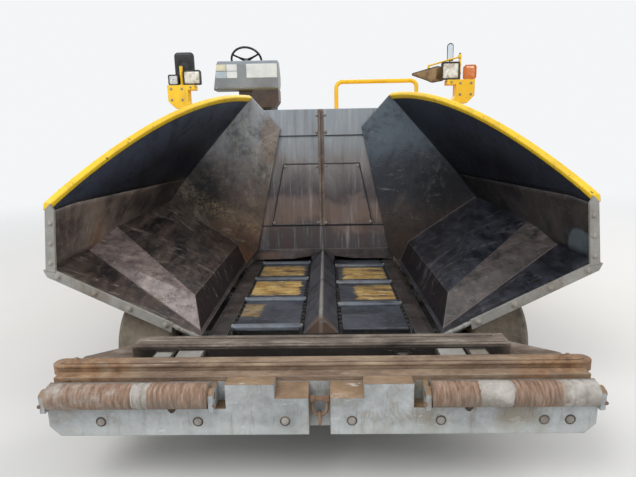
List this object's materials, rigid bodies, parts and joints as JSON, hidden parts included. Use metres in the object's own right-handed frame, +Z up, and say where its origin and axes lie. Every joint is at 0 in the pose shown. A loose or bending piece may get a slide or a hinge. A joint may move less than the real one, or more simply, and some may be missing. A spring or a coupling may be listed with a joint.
{
  "type": "wheeled asphalt paver",
  "caption": "Wheeled asphalt paver with raised hopper wings, twin bar conveyors, push rollers, augers and an extending screed that lifts on tow arms.",
  "frame": {"origin": "on the ground, in the middle of the machine's length and width", "axes": "+Z up, front towards -Y, +X towards the machine's left-hand side"},
  "size_m": [3.0102, 6.6, 2.5331],
  "materials": {
    "frame_grey": "dusty satin",
    "beam_steel": "galvanised, worn",
    "rusty_steel": "rusty",
    "worn_steel": "worn and stained",
    "chain_black": "black with bitumen",
    "yellow_paint": "worn gloss",
    "engine_iron": "matt",
    "console_grey": "satin",
    "seat_black": "matt vinyl",
    "lamp_glass": "clear",
    "mirror_black": "matt",
    "cylinder_grey": "satin",
    "rod_chrome": "polished",
    "tyre_rubber": "dusty rubber"
  },
  "bodies": {
    "chassis": {"main_frame": "frame_grey", "push_beam": "beam_steel", "front_deck": "rusty_steel", "tow_shackle": "worn_steel", "hopper_floor": "worn_steel", "conveyors": "chain_black", "bulkhead": "worn_steel", "bogies": "frame_grey", "final_drives": "frame_grey", "engine_bay": "yellow_paint", "engine_block": "engine_iron", "rear_body": "frame_grey", "operator_deck": "frame_grey", "console": "console_grey", "seat_base": "frame_grey", "seat_cushions": "seat_black", "handrails": "yellow_paint", "lamp_posts": "yellow_paint", "lamps": "lamp_glass", "mirrors": "mirror_black", "auger_case": "frame_grey"},
    "wing_l": {"wing_l": "yellow_paint"},
    "flow_gate_l": {"flow_gate_l": "worn_steel"},
    "wing_barrel_l": {"wing_barrel_l": "cylinder_grey"},
    "wing_rod_l": {"wing_rod_l": "rod_chrome"},
    "wing_r": {"wing_r": "yellow_paint"},
    "flow_gate_r": {"flow_gate_r": "worn_steel"},
    "wing_barrel_r": {"wing_barrel_r": "cylinder_grey"},
    "wing_rod_r": {"wing_rod_r": "rod_chrome"},
    "knuckle_1_l": {"knuckle_1_l": "frame_grey"},
    "front_wheel_1_l": {"front_wheel_1_l": "tyre_rubber"},
    "knuckle_1_r": {"knuckle_1_r": "frame_grey"},
    "front_wheel_1_r": {"front_wheel_1_r": "tyre_rubber"},
    "knuckle_2_l": {"knuckle_2_l": "frame_grey"},
    "front_wheel_2_l": {"front_wheel_2_l": "tyre_rubber"},
    "knuckle_2_r": {"knuckle_2_r": "frame_grey"},
    "front_wheel_2_r": {"front_wheel_2_r": "tyre_rubber"},
    "rear_wheel_l": {"rear_wheel_l": "tyre_rubber"},
    "push_roller_l": {"push_roller_l": "rusty_steel"},
    "auger_l": {"auger_l": "worn_steel"},
    "engine_door_l": {"engine_door_l": "yellow_paint"},
    "rear_wheel_r": {"rear_wheel_r": "tyre_rubber"},
    "push_roller_r": {"push_roller_r": "rusty_steel"},
    "auger_r": {"auger_r": "worn_steel"},
    "engine_door_r": {"engine_door_r": "yellow_paint"},
    "steering_wheel": {"steering_wheel": "seat_black"},
    "screed": {"tow_arms": "yellow_paint", "screed_main": "worn_steel", "screed_walkway": "yellow_paint"},
    "screed_ext_l": {"screed_ext_l": "yellow_paint"},
    "lift_barrel_l": {"lift_barrel_l": "cylinder_grey"},
    "lift_rod_l": {"lift_rod_l": "rod_chrome"},
    "screed_ext_r": {"screed_ext_r": "yellow_paint"},
    "lift_barrel_r": {"lift_barrel_r": "cylinder_grey"},
    "lift_rod_r": {"lift_rod_r": "rod_chrome"}
  },
  "joints": [
    {"name": "wing_l_hinge", "type": "hinge", "parent": "chassis", "child": "wing_l", "pos_m": [0.7, -1.78, 0.4], "axis": [0, -1, 0], "range_deg": [-13, 15.5]},
    {"name": "flow_gate_l_slide", "type": "slide", "parent": "chassis", "child": "flow_gate_l", "axis": [0, 0, 1], "range_m": [0, 0.12]},
    {"name": "wing_barrel_l_hinge", "type": "hinge", "parent": "chassis", "child": "wing_barrel_l", "pos_m": [0.78, -1.1, 0.22], "axis": [0, -1, 0], "range_deg": [-12, 14]},
    {"name": "wing_rod_l_slide", "type": "slide", "parent": "wing_barrel_l", "child": "wing_rod_l", "axis": [0.6854, 0, 0.7282], "range_m": [-0.045, 0.052]},
    {"name": "wing_r_hinge", "type": "hinge", "parent": "chassis", "child": "wing_r", "pos_m": [-0.7, -1.78, 0.4], "axis": [0, 1, 0], "range_deg": [-13, 15.5]},
    {"name": "flow_gate_r_slide", "type": "slide", "parent": "chassis", "child": "flow_gate_r", "axis": [0, 0, 1], "range_m": [0, 0.12]},
    {"name": "wing_barrel_r_hinge", "type": "hinge", "parent": "chassis", "child": "wing_barrel_r", "pos_m": [-0.78, -1.1, 0.22], "axis": [0, 1, 0], "range_deg": [-12, 14]},
    {"name": "wing_rod_r_slide", "type": "slide", "parent": "wing_barrel_r", "child": "wing_rod_r", "axis": [-0.6854, 0, 0.7282], "range_m": [-0.045, 0.052]},
    {"name": "steer_1_l", "type": "hinge", "parent": "chassis", "child": "knuckle_1_l", "pos_m": [0.835, -2.175, 0.275], "axis": [0, 0, 1], "range_deg": [-18, 18]},
    {"name": "spin_1_l", "type": "hinge", "parent": "knuckle_1_l", "child": "front_wheel_1_l", "pos_m": [1.055, -2.175, 0.275], "axis": [1, 0, 0], "continuous": true},
    {"name": "steer_1_r", "type": "hinge", "parent": "chassis", "child": "knuckle_1_r", "pos_m": [-0.835, -2.175, 0.275], "axis": [0, 0, 1], "range_deg": [-18, 18]},
    {"name": "spin_1_r", "type": "hinge", "parent": "knuckle_1_r", "child": "front_wheel_1_r", "pos_m": [-1.055, -2.175, 0.275], "axis": [1, 0, 0], "continuous": true},
    {"name": "steer_2_l", "type": "hinge", "parent": "chassis", "child": "knuckle_2_l", "pos_m": [0.835, -1.495, 0.275], "axis": [0, 0, 1], "range_deg": [-15, 15]},
    {"name": "spin_2_l", "type": "hinge", "parent": "knuckle_2_l", "child": "front_wheel_2_l", "pos_m": [1.055, -1.495, 0.275], "axis": [1, 0, 0], "continuous": true},
    {"name": "steer_2_r", "type": "hinge", "parent": "chassis", "child": "knuckle_2_r", "pos_m": [-0.835, -1.495, 0.275], "axis": [0, 0, 1], "range_deg": [-15, 15]},
    {"name": "spin_2_r", "type": "hinge", "parent": "knuckle_2_r", "child": "front_wheel_2_r", "pos_m": [-1.055, -1.495, 0.275], "axis": [1, 0, 0], "continuous": true},
    {"name": "rear_spin_l", "type": "hinge", "parent": "chassis", "child": "rear_wheel_l", "pos_m": [0.882, 0.75, 0.64], "axis": [1, 0, 0], "continuous": true},
    {"name": "roller_spin_l", "type": "hinge", "parent": "chassis", "child": "push_roller_l", "pos_m": [0.815, -3.246, 0.47], "axis": [1, 0, 0], "continuous": true},
    {"name": "auger_spin_l", "type": "hinge", "parent": "chassis", "child": "auger_l", "pos_m": [0.56, 2.15, 0.32], "axis": [1, 0, 0], "continuous": true},
    {"name": "engine_door_l_hinge", "type": "hinge", "parent": "chassis", "child": "engine_door_l", "pos_m": [1.185, -0.885, 1.28], "axis": [0, 0, -1], "range_deg": [0, 90]},
    {"name": "rear_spin_r", "type": "hinge", "parent": "chassis", "child": "rear_wheel_r", "pos_m": [-0.882, 0.75, 0.64], "axis": [1, 0, 0], "continuous": true},
    {"name": "roller_spin_r", "type": "hinge", "parent": "chassis", "child": "push_roller_r", "pos_m": [-0.815, -3.246, 0.47], "axis": [1, 0, 0], "continuous": true},
    {"name": "auger_spin_r", "type": "hinge", "parent": "chassis", "child": "auger_r", "pos_m": [-0.56, 2.15, 0.32], "axis": [1, 0, 0], "continuous": true},
    {"name": "engine_door_r_hinge", "type": "hinge", "parent": "chassis", "child": "engine_door_r", "pos_m": [-1.185, -0.885, 1.28], "axis": [0, 0, 1], "range_deg": [0, 90]},
    {"name": "steering_wheel_spin", "type": "hinge", "parent": "chassis", "child": "steering_wheel", "pos_m": [-0.84, 0.575, 2.4], "axis": [0, 0.7193, 0.6947], "continuous": true},
    {"name": "screed_lift", "type": "hinge", "parent": "chassis", "child": "screed", "pos_m": [0, -0.6, 0.6], "axis": [1, 0, 0], "range_deg": [0, 7]},
    {"name": "screed_ext_l_slide", "type": "slide", "parent": "screed", "child": "screed_ext_l", "axis": [1, 0, 0], "range_m": [0, 0.95]},
    {"name": "lift_barrel_l_hinge", "type": "hinge", "parent": "chassis", "child": "lift_barrel_l", "pos_m": [1.15, 1.5, 1.425], "axis": [1, 0, 0], "range_deg": [-5, 0]},
    {"name": "lift_rod_l_slide", "type": "slide", "parent": "lift_barrel_l", "child": "lift_rod_l", "axis": [0, 0, 1], "range_m": [0, 0.26]},
    {"name": "screed_ext_r_slide", "type": "slide", "parent": "screed", "child": "screed_ext_r", "axis": [-1, 0, 0], "range_m": [0, 0.95]},
    {"name": "lift_barrel_r_hinge", "type": "hinge", "parent": "chassis", "child": "lift_barrel_r", "pos_m": [-1.15, 1.5, 1.425], "axis": [1, 0, 0], "range_deg": [-5, 0]},
    {"name": "lift_rod_r_slide", "type": "slide", "parent": "lift_barrel_r", "child": "lift_rod_r", "axis": [0, 0, 1], "range_m": [0, 0.26]}
  ],
  "couplings": [
    {"joint": "wing_barrel_l_hinge", "follows": "wing_l_hinge", "ratio": 0.835},
    {"joint": "wing_rod_l_slide", "follows": "wing_l_hinge", "m_per_rad": 0.179},
    {"joint": "wing_barrel_r_hinge", "follows": "wing_r_hinge", "ratio": 0.835},
    {"joint": "wing_rod_r_slide", "follows": "wing_r_hinge", "m_per_rad": 0.179},
    {"joint": "steer_1_r", "follows": "steer_1_l", "ratio": 1},
    {"joint": "steer_2_l", "follows": "steer_1_l", "ratio": 0.8},
    {"joint": "steer_2_r", "follows": "steer_1_l", "ratio": 0.8},
    {"joint": "lift_barrel_l_hinge", "follows": "screed_lift", "ratio": -0.45},
    {"joint": "lift_rod_l_slide", "follows": "screed_lift", "m_per_rad": 2.085},
    {"joint": "lift_barrel_r_hinge", "follows": "screed_lift", "ratio": -0.45},
    {"joint": "lift_rod_r_slide", "follows": "screed_lift", "m_per_rad": 2.085}
  ]
}
